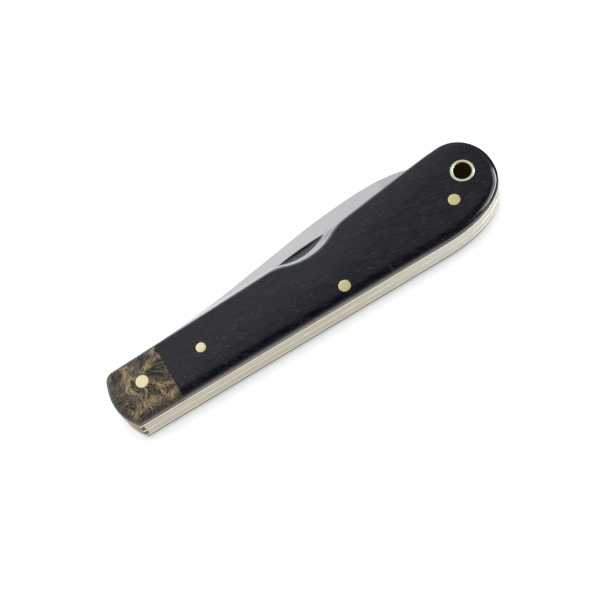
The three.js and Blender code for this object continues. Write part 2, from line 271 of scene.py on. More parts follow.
def white_sweep():
    mesh = bpy.data.meshes.new("floor")
    h = FLOOR_HALF
    mesh.from_pydata([(-h, -h, 0), (h, -h, 0), (h, h, 0), (-h, h, 0)], [], [(0, 1, 2, 3)])
    finish = Finish("white_sweep", Roughness=1.0, Specular_IOR_Level=0.0, Emission_Strength=1.0)
    camera, mirrored = (finish.node("LightPath", output=i) for i in (0, 3))
    away = finish.node("VectorMath", {"operation": "LENGTH"}, output=1, Vector=finish.here())
    dark = mirrored * finish.spread(finish.along(0), *FLOOR_BUTT)
    glow = finish.mix(camera + mirrored - dark, (0, 0, 0), FLOOR_GLOW)
    mesh.materials.append(finish.set(
        Base_Color=finish.mix(dark, FLOOR_PAINT, FLOOR_DARK),
        Emission_Color=finish.mix(finish.spread(away, *FLOOR_FAR) * camera, glow, (1, 1, 1)),
        Normal=finish.bump(finish.noise((0.4, 0.4, 0.4), detail=3), 0.002, 0.1),
    ))
    return added("floor", mesh)


floor = white_sweep()
print("floor", 2 * FLOOR_HALF, "m wide")

# %% [markdown]
# Black gloss is drawn by what it mirrors. Mirrors see a room with a broad bright wall behind
# the knife and to its left, a greyer one to its right that darkens towards the horizon, and
# darkness overhead and on the camera's side, so the flat of the wood turns charcoal and its
# rounding turns black. All other light comes from an even room and from a large lamp overhead,
# which no mirror shows, and sets how bright the colours are. Two lamps beyond the butt are
# there for mirrors only: the low one draws the crescent, the high one its soft upper side.

# %% Light
ROOM_EVEN, SKY_TINT = 0.30, (0.92, 0.96, 1.0)
ROOM_DARK, ROOM_SIDE, ROOM_WALL = 0.06, 0.50, 1.05
SIDE_REACH = (-0.12, 0.30)      # the reaches are in y of the direction that a mirror looks in
WALL_REACH, WALL_TURN = (0.27, 0.35), 0.9
HORIZON_REACH, HORIZON_LEFT = (0.75, 0.95), 0.35
TINT_REACH = (0.42, 0.55)


def room_light():
    world = bpy.data.worlds.new("room")
    bpy.context.scene.world = world
    world.use_nodes = True
    room = Tree(world.node_tree)
    towards = room.node("TexCoord", output=0)
    x, y = (room.node("SeparateXYZ", output=i, Vector=towards) for i in (0, 1))
    side = room.spread(y, *SIDE_REACH, ROOM_DARK, ROOM_SIDE)
    side = side * room.spread(y, *HORIZON_REACH, 1, HORIZON_LEFT)
    wall = room.spread(y - WALL_TURN * x, *WALL_REACH, 0, ROOM_WALL - ROOM_SIDE)
    seen, mirrored = (room.node("LightPath", output=i) for i in (0, 3))
    strength = ROOM_EVEN + seen * (1 - ROOM_EVEN) + mirrored * (side + wall - ROOM_EVEN)
    tint = room.mix(room.spread(y, *TINT_REACH), (1, 1, 1), SKY_TINT)
    tint = room.mix(mirrored, SKY_TINT, tint)
    room.node("OutputWorld", Surface=room.node("Background", Color=tint, Strength=strength))


def soft_box(name, aim, azimuth, elevation, distance, size, brightness, colour, for_mirrors):
    """A rectangular lamp in that direction from aim, seen by mirrors alone or by all but them."""
    lamp = bpy.data.lights.new(name, "AREA")
    lamp.shape = "RECTANGLE"
    lamp.size, lamp.size_y = size
    lamp.energy = brightness * math.pi * size[0] * size[1]
    lamp.color = colour
    turn = turned(azimuth - 90, 90 + elevation)
    place = Vector(aim) + turn.to_3x3() @ Vector((0, 0, -distance))
    box = added(name, lamp)
    box.matrix_world = Matrix.Translation(place) @ turn @ Matrix.Rotation(math.pi, 4, "Y")
    box.visible_glossy, box.visible_diffuse = for_mirrors, not for_mirrors
    print(name, "at", [round(c, 2) for c in place], "m")


room_light()
BUTT_AIM, DAYLIGHT = (0.05, 0.0, 0.01), (0.95, 0.975, 1.0)
soft_box("low_key", BUTT_AIM, -20, 8, 0.4, (0.46, 0.084), 21.0, DAYLIGHT, True)
soft_box("high_key", BUTT_AIM, -20, 27, 0.4, (0.46, 0.185), 4.4, DAYLIGHT, True)
soft_box("fill", (0, 0, 0), 110, 87, 0.75, (0.9, 0.7), 2.6, (1, 1, 1), False)
bpy.context.scene.view_settings.view_transform = "Standard"

# %% [markdown]
# All flat pieces share one outline. It is drawn as a maker would: straight lines and parts of
# ellipses for the handle, with a hollow for the thumb on the blades' side. Curves are sampled
# finely here, because the picture shows every corner on a silhouette.

# %% Layers and sizes
SCALE_THICKNESS = 3.0
PIN_PROUD = 0.03
LINER_THICKNESS = 0.7
SECOND_SLOT = 2.1
MAIN_SLOT = 2.5
SIDE_CLEARANCE = 0.05
BACK_LINER_Z = SCALE_THICKNESS
SECOND_SLOT_Z = BACK_LINER_Z + LINER_THICKNESS
CENTRE_LINER_Z = SECOND_SLOT_Z + SECOND_SLOT
MAIN_SLOT_Z = CENTRE_LINER_Z + LINER_THICKNESS
FRONT_LINER_Z = MAIN_SLOT_Z + MAIN_SLOT
FRONT_SCALE_Z = FRONT_LINER_Z + LINER_THICKNESS
TOP_Z = FRONT_SCALE_Z + SCALE_THICKNESS

BUTT_X = 100.7
BACK_Y = -8.6
BACK_CORNER_X = -5.9
BUTT_LENGTH, BUTT_FULLNESS, BUTT_MIDDLE_Y = 21.6, 0.63, 5.0
BUTT_TOP_SETBACK, BUTT_TOP_Y = 9.1, 14.85
FRONT_CORNER, FRONT_CORNER_RADIUS = (-5.2, 4.4), 2.9
FRONT_BULGE = (-10.5, -2.5)
KNEE, SHOULDER, RISE = (41.5, 9.05), (59.4, 10.7), (78.0, 13.35)
SCALLOP, SCALLOP_RADIUS, SHOULDER_ROUND = (49.2, 22.0), 15.0, 2.6
print("stack", round(TOP_Z, 2), "mm thick")

# %% Curves


def ellipse(centre, radii, start, end, steps=40):
    """Points of part of an ellipse, angles in degrees."""
    angles = np.radians(np.linspace(start, end, steps + 1))
    return np.c_[centre[0] + radii[0] * np.cos(angles), centre[1] + radii[1] * np.sin(angles)]


def curve(*pulls, steps=24):
    """Points of a curve from the first point to the last that leans towards those between."""
    t, last = np.linspace(0, 1, steps + 1)[:, None], len(pulls) - 1
    return sum(math.comb(last, i) * t ** i * (1 - t) ** (last - i) * np.array(pull, float)
               for i, pull in enumerate(pulls))


def smooth_line(knots, steps_per_knot):
    """Points of a smooth line through all knots."""
    knots = np.asarray(knots, float)
    count = len(knots)
    t = np.linspace(0, count - 1, steps_per_knot * count + 1)
    i = np.minimum(t.astype(int), count - 2)
    w = (t - i)[:, None]
    before, here = knots[np.maximum(i - 1, 0)], knots[i]
    after, later = knots[i + 1], knots[np.minimum(i + 2, count - 1)]
    leave, arrive = (after - before) / 2, (later - here) / 2
    return ((2 * here - 2 * after + leave + arrive) * w ** 3
            + (3 * after - 3 * here - 2 * leave - arrive) * w ** 2 + leave * w + here)


def height_on(a, b, x):
    """Height at x of the straight line through a and b."""
    return a[1] + (x - a[0]) * (b[1] - a[1]) / (b[0] - a[0])


def subdivided(points, longest=1.2):
    """A closed line with no step longer than that."""
    parts = []
    for a, b in zip(points, np.roll(points, -1, 0)):
        steps = max(1, math.ceil(np.hypot(*(b - a)) / longest))
        parts.append(a + (b - a) * np.arange(steps)[:, None] / steps)
    return np.concatenate(parts)


def joined(*parts):
    """One closed line from several, without its doubled points."""
    points = np.concatenate([np.atleast_2d(np.asarray(p, float)) for p in parts])
    step = np.hypot(*(points - np.roll(points, 1, 0)).T)
    return points[step > 1e-6]


print("curve helpers ready")

# %% Handle outline


def on_scallop(x):
    return (x, SCALLOP[1] - math.sqrt(SCALLOP_RADIUS ** 2 - (x - SCALLOP[0]) ** 2))


def scallop_angle(point):
    return math.degrees(math.atan2(point[1] - SCALLOP[1], point[0] - SCALLOP[0]))


def touch_angle(outside, side):
    """Angle on the front corner where a line from a point outside touches it."""
    dx, dy = outside[0] - FRONT_CORNER[0], outside[1] - FRONT_CORNER[1]
    opening = math.acos(FRONT_CORNER_RADIUS / math.hypot(dx, dy))
    return math.degrees(math.atan2(dy, dx) + side * opening)


def handle_outline(with_scallop):
    """The handle, run anticlockwise from the back corner."""
    slope = (RISE[1] - SHOULDER[1]) / (RISE[0] - SHOULDER[0])
    low = curve((BUTT_X - BUTT_LENGTH, BACK_Y),
                (BUTT_X - BUTT_LENGTH * (1 - BUTT_FULLNESS), BACK_Y),
                (BUTT_X, BUTT_MIDDLE_Y + BUTT_FULLNESS * (BACK_Y - BUTT_MIDDLE_Y)),
                (BUTT_X, BUTT_MIDDLE_Y), steps=60)
    high = ellipse((BUTT_X - BUTT_TOP_SETBACK, BUTT_MIDDLE_Y),
                   (BUTT_TOP_SETBACK, BUTT_TOP_Y - BUTT_MIDDLE_Y), 0, 90)
    rise = curve(high[-1], (RISE[0] + (BUTT_TOP_Y - RISE[1]) / slope, BUTT_TOP_Y), RISE)
    edge = [SHOULDER, KNEE]
    if with_scallop:
        right = on_scallop(SHOULDER[0] - SHOULDER_ROUND)
        left = on_scallop(KNEE[0] + SHOULDER_ROUND)
        front_edge = (FRONT_CORNER[0], FRONT_CORNER[1] + FRONT_CORNER_RADIUS)
        right_line, left_line = SHOULDER[0] + SHOULDER_ROUND, KNEE[0] - SHOULDER_ROUND
        edge = [
            curve((right_line, height_on(SHOULDER, RISE, right_line)), SHOULDER, right, steps=12),
            ellipse(SCALLOP, (SCALLOP_RADIUS,) * 2, scallop_angle(right), scallop_angle(left), 24),
            curve(left, KNEE, (left_line, height_on(front_edge, KNEE, left_line)), steps=12),
        ]
    front = ellipse(FRONT_CORNER, (FRONT_CORNER_RADIUS,) * 2,
                    touch_angle(KNEE, 1), touch_angle(FRONT_BULGE, -1) + 360, 24)
    nose = curve(front[-1], FRONT_BULGE, (BACK_CORNER_X, BACK_Y))
    return joined((BACK_CORNER_X, BACK_Y), low, high, rise, *edge, front, nose[:-1])


plain_outline = subdivided(handle_outline(False))
scalloped_outline = subdivided(handle_outline(True))
print("outline points", len(plain_outline), len(scalloped_outline))

# %% [markdown]
# Slabs, liners, springs and blades are all plates: a flat outline, holes, and a height for the
# upper and the lower face that may change from place to place. We let Blender triangulate the
# outline with every line that the shape needs, then lift the points. Rounded and chamfered
# edges come from a height that depends on the distance to the outline.

# %% Outline tools


def edge_distance(points, outline):
    """Distance from each point to the closed outline."""
    points, a = np.asarray(points, float), np.asarray(outline, float)
    b = np.roll(a, -1, 0)
    along = b - a
    length = np.maximum((along ** 2).sum(1), 1e-12)
    found = []
    for part in np.array_split(points, max(1, len(points) // 1500)):
        away = part[:, None] - a[None]
        share = np.clip((away * along).sum(2) / length, 0, 1)
        found.append(np.sqrt(((away - share[..., None] * along) ** 2).sum(2)).min(1))
    return np.concatenate(found)


def is_inside(points, outline):
    """True for each point inside the closed outline."""
    x, y = np.asarray(points, float).T[:, :, None]
    a, b = np.asarray(outline, float), np.roll(outline, -1, 0)
    crosses = (a[:, 1] > y) != (b[:, 1] > y)
    rise = np.where(b[:, 1] == a[:, 1], 1e-12, b[:, 1] - a[:, 1])
    return ((x < a[:, 0] + (y - a[:, 1]) * (b[:, 0] - a[:, 0]) / rise) & crosses).sum(1) % 2 == 1


def drawn_in(outline, distance):
    """The outline moved inwards, without the loops that a sharp corner would make."""
    before, after = np.roll(outline, 1, 0), np.roll(outline, -1, 0)
    first, second = outline - before, after - outline
    normals = [np.c_[-v[:, 1], v[:, 0]] / np.hypot(*v.T)[:, None] for v in (first, second)]
    middle = normals[0] + normals[1]
    middle /= np.hypot(*middle.T)[:, None]
    moved = outline + middle * (distance / (middle * normals[1]).sum(1))[:, None]
    return moved[edge_distance(moved, outline) > distance - 1e-3]


def circle(centre, radius, steps=64):
    return ellipse(centre, (radius, radius), 0, 360, steps)[:-1]


print("a round hole has", len(circle((0, 0), 1)), "corners")

# %% The plan of a plate
HOLE_MARGIN = 0.25


class Plan:
    """Lines and points of a plate before it is triangulated."""

    def __init__(self, outline):
        self.outline = np.asarray(outline, float)
        self.points, self.edges, self.creased, self.holes = [], [], set(), []
        self.line(self.outline, closed=True)

    def line(self, points, closed=False, crease=False):
        first = len(self.points)
        self.points += [tuple(p) for p in points]
        pairs = [(first + i, first + i + 1) for i in range(len(points) - 1)]
        if closed:
            pairs.append((first + len(points) - 1, first))
        if crease:
            self.creased.update(range(len(self.edges), len(self.edges) + len(pairs)))
        self.edges += pairs

    def hole(self, outline):
        self.holes.append(np.asarray(outline, float))
        self.line(outline, closed=True)

    def fill(self, spacing, margin):
        """A grid of loose points over the plate, for curved faces."""
        low, high = self.outline.min(0), self.outline.max(0)
        xs = np.arange(low[0] + spacing[0] / 2, high[0], spacing[0])
        ys = np.arange(low[1] + spacing[1] / 2, high[1], spacing[1])
        grid = np.stack(np.meshgrid(xs, ys, indexing="ij"), -1).reshape(-1, 2)
        good = is_inside(grid, self.outline) & (edge_distance(grid, self.outline) > margin)
        for hole in self.holes:
            good &= ~is_inside(grid, hole) & (edge_distance(grid, hole) > HOLE_MARGIN)
        self.points += [tuple(p) for p in grid[good]]

    def triangles(self):
        made = delaunay_2d_cdt([Vector(p) for p in self.points], self.edges, [], 1, 1e-5)
        points = np.array([tuple(p) for p in made[0]])
        corners = np.array(made[2])
        centres = points[corners].mean(1)
        for hole in self.holes:
            outside = ~is_inside(centres, hole)
            corners, centres = corners[outside], centres[outside]
        a, b, c = points[corners].transpose(1, 0, 2)
        clockwise = np.cross(b - a, c - a) < 0
        corners[clockwise] = corners[clockwise][:, ::-1]
        creases = {tuple(sorted(edge)) for edge, origins in zip(made[1], made[4])
                   if self.creased.intersection(origins)}
        return points, corners, creases


print("plain outline in", len(Plan(plain_outline).triangles()[1]), "triangles")

# %% From plan to plate


def plate(name, plan, upper, lower):
    """A closed plate between two heights in millimetres; each may be a number or a rule."""
    points, corners, creases = plan.triangles()
    used = np.unique(corners)
    renumber = np.full(len(points), -1)
    renumber[used] = np.arange(len(used))
    points, corners = points[used], renumber[corners]
    count = len(points)
    top = upper(points) if callable(upper) else upper
    bottom = lower(points) if callable(lower) else lower
    verts = np.r_[to_scene(points, top), to_scene(points, bottom)]
    verts = np.clip(verts, solid_low, solid_high)
    directed = {(int(t[i]), int(t[(i + 1) % 3])) for t in corners for i in range(3)}
    rim = [(a, b) for a, b in directed if (b, a) not in directed]
    faces = corners.tolist() + (corners[:, ::-1] + count).tolist()
    faces += [(b, a, a + count, b + count) for a, b in sorted(rim)]
    mesh = bpy.data.meshes.new(name)
    mesh.from_pydata(verts.tolist(), [], faces)
    piece = added(name, mesh)
    marked = {tuple(sorted((renumber[a], renumber[b]))) for a, b in creases}
    marked |= {(a + count, b + count) for a, b in marked}
    round_off(piece, marked)
    return piece


def round_off(piece, creases=(), sharpest=32):
    """Smooth shading, with hard edges at creases and wherever faces meet at a clear angle."""
    shape = bmesh.new()
    shape.from_mesh(piece.data)
    shape.normal_update()
    for face in shape.faces:
        face.smooth = True
    limit = math.radians(sharpest)
    for edge in shape.edges:
        hard = len(edge.link_faces) != 2 or edge.calc_face_angle(0) > limit
        if not hard and creases:
            hard = tuple(sorted(v.index for v in edge.verts)) in creases
        edge.smooth = not hard
    shape.to_mesh(piece.data)
    shape.free()


print("plates ready")

# %% Marks on a piece


def attribute(piece, name, rule):
    """Stores a number on each point, worked out from its place in millimetres."""
    co = np.empty(3 * len(piece.data.vertices), np.float32)
    piece.data.vertices.foreach_get("co", co)
    co = co.reshape(-1, 3).astype(float) / MM - np.array([*PIVOT, 0])
    made = piece.data.attributes.new(name, "FLOAT", "POINT")
    made.data.foreach_set("value", rule(co).astype(np.float32))


def finished(piece, body, slot, *nodes, material=None):
    """Dresses the piece, hangs it on what it moves with and hides the solids that it stands for.
    """
    if material:
        piece.data.materials.append(material)
    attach(piece, body)
    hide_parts(*nodes)
    low, high = np.array(piece.bound_box).min(0), np.array(piece.bound_box).max(0)
    print(f"{piece.name}: {len(piece.data.polygons)} faces,",
          " x ".join(f"{1000 * s:.2f}" for s in high - low), "mm")


# %% [markdown]
# Where the pins go through. A drilled hole is never quite the size of its pin, and the thin
# dark ring round a pin is that gap, so the holes here are a hair larger than the pins.

# %% Pins and holes
PIVOT_PIN = ((0.0, 0.0), 1.6)
MIDDLE_PIN = ((52.8, BACK_Y + 3.1), 1.5)
BUTT_PIN = ((BUTT_X - 14.1, -0.8), 1.5)
SCALE_RIVET = ((16.0, -0.2), 1.25)
TUBE, TUBE_BORE = ((BUTT_X - 8.2, 4.8), 3.0), 2.3
SLAB_GAP, PLATE_GAP = 0.09, 0.03


def drill(plan, pins, gap):
    for centre, radius in pins:
        plan.hole(circle(centre, radius + gap))


print("middle pin at", [round(c, 2) for c in MIDDLE_PIN[0]], "mm, tube at",
      [round(c, 2) for c in TUBE[0]], "mm")

# %% [markdown]
# The slabs of wood and composite start square at the liner, with a short wall on the spring
# side that is higher on the front slab. They round over in a quarter of an ellipse and keep
# rising a little towards the middle, as a belt leaves them. That last slight crown matters: it
# makes the mirrored light fade out instead of stopping at a line.

# %% Slabs
EDGE_INSET = 2.2
FRONT_WALL, BACK_WALL = 1.35, 0.45
WALL_END_Y, WALL_FADE = 4.0, 7.0
EDGE_LEAN = math.radians(4)
CROWN, CROWN_REACH = 0.40, 8.5
RINGS = (0.012, 0.05, 0.094, 0.105, 0.135, 0.19, 0.27, 0.38, 0.54, 0.76, 1.02, 1.32, 1.66, 2.02,
         2.5, 3.2)
SLAB_GRID, GRID_MARGIN = (1.3, 0.9), 0.5
JOINT_X = 6.6
# Where the slabs are painted paler along the front liner, as painted sheen.
SHEEN_HEIGHT, SHEEN_END_X, SHEEN_FADE = 2.2, 92.0, 45.0


def slab_rise(points, spring_wall):
    """Height over the liner at each point; the spring side's wall fades out across the slab."""
    points = np.asarray(points, float)
    distance = edge_distance(points, scalloped_outline)
    fade = np.clip((WALL_END_Y - points[:, 1]) / WALL_FADE, 0, 1)
    wall = spring_wall * fade ** 2 * (3 - 2 * fade)
    share = np.clip((distance - wall * math.tan(EDGE_LEAN)) / EDGE_INSET, 0, 1)
    angle = np.arccos(math.cos(EDGE_LEAN) * (1 - share))
    rise = (np.sin(angle) - math.sin(EDGE_LEAN)) / (1 - math.sin(EDGE_LEAN))
    short = 1 - np.clip(distance / CROWN_REACH, 0, 1)
    top = SCALE_THICKNESS - PIN_PROUD - CROWN * short ** 2
    return np.minimum(distance / math.tan(EDGE_LEAN), wall) + rise * (top - wall)


def slab(seat, outward, spring_wall):
    """Wood and bolster of one side as one piece."""
    plan = Plan(scalloped_outline)
    for distance in RINGS:
        plan.line(drawn_in(scalloped_outline, distance), closed=True)
    drill(plan, (PIVOT_PIN, MIDDLE_PIN, BUTT_PIN, SCALE_RIVET, TUBE), SLAB_GAP)
    plan.fill(SLAB_GRID, RINGS[-1] + GRID_MARGIN)

    def outer(points):
        return seat + outward * slab_rise(points, spring_wall)

    return plate("whole_slab", plan, *((outer, seat) if outward > 0 else (seat, outer)))


print("slab", round(float(slab_rise([(30, 0)], FRONT_WALL)[0]), 2), "mm thick at its middle")

# %% Saw each slab in two


def painted_sheen_share(co):
    """How much painted sheen: all at the front liner, less higher up and towards the butt."""
    low = np.clip(1 - (co[:, 2] - FRONT_SCALE_Z) / SHEEN_HEIGHT, 0, 1)
    along = np.clip((SHEEN_END_X - co[:, 0]) / SHEEN_FADE, 0, 1)
    return np.where(co[:, 2] > FRONT_SCALE_Z - 0.01, low * along, 0)


def near_rim(co):
    """1 at the outline, 0 where the slab is flat."""
    return np.clip(1 - edge_distance(co[:, :2], scalloped_outline) / EDGE_INSET, 0, 1)


def sawn(piece, name, keep_front):
    """The part of a slab on one side of the joint, closed again where it was cut."""
    shape = bmesh.new()
    shape.from_mesh(piece.data)
    cut = Vector(to_scene([(JOINT_X, 0)])[0])
    geometry = shape.verts[:] + shape.edges[:] + shape.faces[:]
    bmesh.ops.bisect_plane(shape, geom=geometry, plane_co=cut, plane_no=(1, 0, 0), dist=1e-7,
                           clear_outer=keep_front, clear_inner=not keep_front)
    open_edges = [e for e in shape.edges if len(e.link_faces) == 1]
    bmesh.ops.holes_fill(shape, edges=open_edges, sides=0)
    bmesh.ops.recalc_face_normals(shape, faces=shape.faces[:])
    bmesh.ops.triangulate(shape, faces=[f for f in shape.faces if len(f.verts) > 4])
    mesh = bpy.data.meshes.new(name)
    shape.to_mesh(mesh)
    shape.free()
    part = added(name, mesh)
    round_off(part)
    attribute(part, "rim", near_rim)
    attribute(part, "painted_sheen", painted_sheen_share)
    return part


bolsters, scales = {}, {}
for side, seat, outward, spring_wall in (("front", FRONT_SCALE_Z, 1, FRONT_WALL),
                                         ("back", BACK_LINER_Z, -1, BACK_WALL)):
    whole = slab(seat, outward, spring_wall)
    bolsters[side] = sawn(whole, side + "_bolster_shaped", True)
    scales[side] = sawn(whole, side + "_wood", False)
    bpy.data.objects.remove(whole)
print("slabs cut at", JOINT_X, "mm from the pivot")

# %% [markdown]
# The wood is almost black and was oiled and polished. Its grain doesn't follow the handle: it
# runs a few degrees off, as sawn wood does. Fibres come from noise that is stretched along the
# grain, and the pores from a finer noise, cut off high so that only short flecks are left.
# The front slab's edge at the liner is painted paler, as painted sheen of the white floor that
# it mirrors at a grazing angle; less so higher up and towards the butt.

# %% Black wood
GRAIN_ANGLE = math.radians(13)


def black_wood():
    wood = Finish("black_wood", Specular_IOR_Level=0.375)

    def grain(x, y, z, detail=2.0, rough=0.5):
        return wood.noise((x, y, z), GRAIN_ANGLE, detail, rough)

    streak = grain(0.06, 1.2, 1.2, 4, 0.6)
    fibre = grain(0.35, 2.4, 2.4, 2, 0.55)
    band = grain(0.03, 0.16, 0.2)
    pore = grain(0.7, 6.5, 6.5, 1.5, 0.45)
    patch = grain(0.10, 0.35, 0.35)
    fleck = wood.spread(pore, 0.64, 0.73) * wood.spread(patch, 0.42, 0.62)
    pit = wood.spread(grain(0.55, 8.0, 8.0), 0.60, 0.72)
    painted_sheen = wood.stored("painted_sheen")
    return wood.set(
        Base_Color=wood.layered(
            (0.0018, 0.0020, 0.0068),
            (wood.spread(band, 0.35, 0.65), (0.0036, 0.0026, 0.0070)),
            (wood.spread(streak, 0.35, 0.75) * 0.6, (0.0085, 0.0080, 0.0120)),
            (wood.spread(fibre, 0.45, 0.75) * 0.8, (0.018, 0.0175, 0.0215)),
            (pit * 0.7, (0.002, 0.002, 0.003)),
            (fleck * 0.6, (0.098, 0.096, 0.098)),
            # painted sheen: paler along the front slab's edge at the liner
            (painted_sheen ** 1.15, (0.34, 0.32, 0.275))),
        Roughness=0.12 + fibre * 0.10 + fleck * 0.25 + painted_sheen * 0.3,
        Normal=wood.bump(fibre * 0.5 + (1 - pit) * 0.5 - fleck * 0.2, 0.014, 0.4))


wood_material = black_wood()
for side, piece in scales.items():
    finished(piece, "handle", "black_wood", side + "_scale", material=wood_material)

# %% [markdown]
# The bolsters are a cast composite: shreds of gold and brown stirred into dark resin, then
# polished. Stirring is what a warped coordinate does. One noise bends the coordinates of the
# next, ridges of the second noise become thin veins, and slow noise decides where the resin is
# violet grey and where it is olive.

# %% Marbled composite
SHRED_ANGLE = math.radians(-58)


def marbled_composite():
    resin = Finish("marbled_composite", Specular_IOR_Level=0.31)

    def stirred(vector, scale, reach, detail):
        """Coordinates pushed about by a coloured noise."""
        swirl = resin.noise((scale,) * 3, detail=detail, vector=vector, colour=True)
        centred = resin.node("VectorMath", {"operation": "SUBTRACT"}, _0=swirl, _1=(0.5,) * 3)
        push = resin.node("VectorMath", {"operation": "SCALE"}, _0=centred, Scale=reach)
        return resin.node("VectorMath", {"operation": "ADD"}, _0=vector, _1=push)

    once = stirred(resin.stretch(resin.here(), (1 / MM,) * 3), 0.13, 10.0, 1.0)
    twice = stirred(once, 0.26, 3.0, 1.5)
    strand = resin.noise((0.24, 0.85, 0.5), SHRED_ANGLE, 2.5, vector=twice)
    shred = resin.noise((0.6, 2.1, 1.2), SHRED_ANGLE, vector=twice)
    patch = resin.noise((0.26,) * 3, detail=1.5, vector=once)
    cloud = resin.noise((0.19, 0.23, 0.21), detail=1.0, vector=once)
    vein = resin.spread(1 - abs(strand - 0.5) * 2, 0.84, 0.98)
    thread = resin.spread(1 - abs(shred - 0.5) * 2, 0.88, 0.99)
    golden = resin.spread(patch, 0.44, 0.60)
    rim, painted_sheen = resin.stored("rim"), resin.stored("painted_sheen")
    return resin.set(
        Base_Color=resin.layered(
            (0.008, 0.0075, 0.005),
            (resin.spread(cloud, 0.44, 0.56), (0.054, 0.043, 0.043)),
            (resin.spread(strand, 0.51, 0.60) * 0.95, (0.005, 0.004, 0.004)),
            (resin.spread(strand, 0.47, 0.36) * golden * 0.9, (0.150, 0.082, 0.034)),
            (vein * (0.10 + 0.85 * golden), (0.300, 0.190, 0.068)),
            (thread * (0.25 + 0.6 * golden), (0.45, 0.365, 0.225)),
            (resin.spread(rim, 0.15, 0.7) * 0.75, (0.054, 0.053, 0.045)),
            # painted sheen: the bolster's edge at the front liner is painted paler and browner
            (resin.spread(painted_sheen, 0.2, 0.8) * 0.8, (0.20, 0.17, 0.14))),
        Roughness=0.20 + vein * 0.10 + painted_sheen * 0.2,
        Normal=resin.bump(strand, 0.01, 0.15))


marble_material = marbled_composite()
for side, piece in bolsters.items():
    finished(piece, "handle", "marbled_bolster", side + "_bolster", material=marble_material)

# %% [markdown]
# Liners are thin brass sheets that carry the pins. Only their edges show, as bright lines.
# Each edge is broken by a tiny chamfer, and two chamfers that meet make the fine dark seam
# between one layer and the next.

# %% Liners
CHAMFER = 0.05


def broken_edge(outline, level, way):
    """A flat face whose rim drops by the chamfer; way is 1 for an upper face."""

    def rule(points):
        short = np.clip(CHAMFER - edge_distance(points, outline), 0, CHAMFER)
        return level - way * short

    return rule


def sheet(name, outline, low, high, pins):
    plan = Plan(outline)
    plan.line(drawn_in(outline, CHAMFER), closed=True)
    drill(plan, pins, PLATE_GAP)
    return plate(name, plan, broken_edge(outline, high, 1), broken_edge(outline, low, -1))


def brass(name, colour, deep, line_scale, roughness):
    """Pale brass with fine lines one way and a little tarnish in clouds."""
    metal = Finish(name, Metallic=1.0)
    line = metal.noise(line_scale, detail=3, rough=0.6)
    cloud = metal.noise((0.25, 0.25, 0.25), detail=3)
    shade = metal.layered(colour, (metal.spread(cloud, 0.35, 0.75) * 0.5, deep),
                          (metal.spread(line, 0.25, 0.75) * 0.35, deep))
    return metal.set(Base_Color=shade, Roughness=roughness + line * 0.12,
                     Normal=metal.bump(line, 0.004, 0.3))


liner_material = brass("liner_brass", (0.745, 0.705, 0.575), (0.63, 0.565, 0.415),
                       (0.05, 0.05, 9.0), 0.31)
THROUGH = (PIVOT_PIN, MIDDLE_PIN, BUTT_PIN, TUBE)
for name, outline, low, pins in (
        ("front_liner", scalloped_outline, FRONT_LINER_Z, (*THROUGH, SCALE_RIVET)),
        ("centre_liner", plain_outline, CENTRE_LINER_Z, THROUGH),
        ("back_liner", scalloped_outline, BACK_LINER_Z, (*THROUGH, SCALE_RIVET))):
    piece = sheet(name + "_edged", outline, low, low + LINER_THICKNESS, pins)
    finished(piece, "handle", "liner_brass", name, material=liner_material)

# %% [markdown]
# Each blade has its own back spring, a strip of hardened steel that follows the back of the
# handle. Its inner side is waisted so that it can bend, and it swells round every pin. The
# outer edge was ground along its length together with the liners, which leaves fine lines.

# %% Back springs
SPRING_AT_TANG, SPRING_WAIST, SPRING_END_X = 4.0, 3.2, -5.0
PIN_WALL, BUTT_WALL = 1.5, 3.3
HUMP, HUMP_FOOT = 7.0, 0.3
TANG_KICK_X, KICK_SLOPE = 4.7, 1.8
BUTT_FROM_X = 60
# The ground edge is painted paler and greyer towards the butt: painted glare of the lamps beyond
# it.
BUTT_GLARE = (0.0, 0.04)      # metres along x where the ground edge turns paler and greyer


def around(pin, wall, degrees):
    (x, y), radius = pin
    angle = math.radians(degrees)
    return (x + (radius + wall) * math.cos(angle), y + (radius + wall) * math.sin(angle))


def spring_outline():
    tang_y, waist_y = BACK_Y + SPRING_AT_TANG, BACK_Y + SPRING_WAIST
    pin_x = MIDDLE_PIN[0][0]
    hump = around(MIDDLE_PIN, PIN_WALL, 90)
    foot_y = waist_y + HUMP_FOOT * (hump[1] - waist_y)
    inner = smooth_line([
        around(TUBE, PIN_WALL, 90), around(TUBE, PIN_WALL, 150),
        around(BUTT_PIN, BUTT_WALL, 90), around(BUTT_PIN, BUTT_WALL, 160),
        (pin_x + 2.2 * HUMP, foot_y), (pin_x + HUMP, foot_y), hump, (pin_x - HUMP, foot_y),
        (pin_x - 2.2 * HUMP, waist_y), (pin_x - 4 * HUMP, waist_y),
        (TANG_KICK_X + 2 * KICK_SLOPE, tang_y), (TANG_KICK_X, tang_y)], 10)
    top = inner[0][1]
    butt = plain_outline[(plain_outline[:, 0] > SPRING_END_X) & (plain_outline[:, 1] < top)]
    butt = butt[(butt[:, 1] < BACK_Y + 0.5) | (butt[:, 0] > BUTT_FROM_X)]
    share = (top - BUTT_MIDDLE_Y) / (BUTT_TOP_Y - BUTT_MIDDLE_Y)
    edge_x = BUTT_X - BUTT_TOP_SETBACK * (1 - math.sqrt(1 - share ** 2))
    return subdivided(joined((SPRING_END_X, tang_y), (SPRING_END_X, BACK_Y), butt,
                             (edge_x, top), inner))


